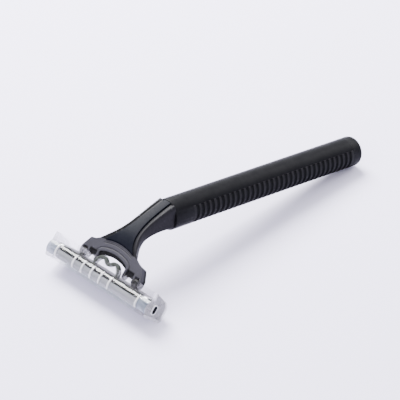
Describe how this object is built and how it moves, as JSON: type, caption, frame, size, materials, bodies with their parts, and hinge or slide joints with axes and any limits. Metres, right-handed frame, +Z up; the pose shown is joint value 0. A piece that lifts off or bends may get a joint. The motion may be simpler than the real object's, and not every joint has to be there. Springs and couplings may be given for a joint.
{
  "type": "cartridge razor",
  "caption": "Cartridge razor with a ribbed round handle, a forked yoke, a sprung pivoting blade cartridge and a clear ribbed slide-off cap.",
  "frame": {"origin": "middle of the bounding box on the table plane, with the razor lying face down on its cap and its handle's end", "axes": "+Z up from the table, +Y along the handle from the head towards the far end, +X across the head"},
  "size_m": [0.0466, 0.1162, 0.0224],
  "materials": {
    "handle_plastic": "black moulded plastic, satin gloss",
    "grip_rubber": "black soft-touch rubber with cross grooves",
    "yoke_plastic": "charcoal moulded plastic, fine satin texture",
    "panel_plastic": "smooth black plastic, low gloss",
    "pin_steel": "plain steel wire",
    "spring_plastic": "dark grey-green moulded acetal",
    "cartridge_plastic": "black moulded plastic",
    "strip_polymer": "pale water-soluble strip, waxy",
    "guard_rubber": "soft ridged rubber",
    "blade_steel": "ground stainless strip",
    "spacer_metal": "plain aluminium strip",
    "clear_plastic": "translucent milky moulded plastic"
  },
  "bodies": {
    "handle": {"handle_tube": "handle_plastic", "grip_sleeve": "grip_rubber", "end_cap": "handle_plastic", "neck_yoke": "yoke_plastic", "neck_panel": "panel_plastic", "pivot_pin_left": "pin_steel", "pivot_pin_right": "pin_steel"},
    "cartridge": {"cartridge_frame": "cartridge_plastic", "cartridge_cover": "cartridge_plastic", "lubricating_strip": "strip_polymer", "guard_strip": "guard_rubber", "blade_1": "blade_steel", "blade_2": "blade_steel", "blade_3": "blade_steel", "blade_spacer_1": "spacer_metal", "blade_spacer_2": "spacer_metal", "retaining_clip_left": "spacer_metal", "retaining_clip_right": "spacer_metal", "return_spring": "spring_plastic"},
    "cap": {"protective_cap": "clear_plastic"}
  },
  "joints": [
    {"name": "cartridge_pivot", "type": "hinge", "parent": "handle", "child": "cartridge", "pos_m": [0, -0.05068, 0.00851], "axis": [1, 0, 0], "range_deg": [0, 35], "stiffness_Nm_per_rad": 0.01, "springref_deg": -8.59},
    {"name": "cap_slide", "type": "slide", "parent": "cartridge", "child": "cap", "axis": [0, -0.7499, 0.6616], "range_m": [0, 0.012]}
  ]
}
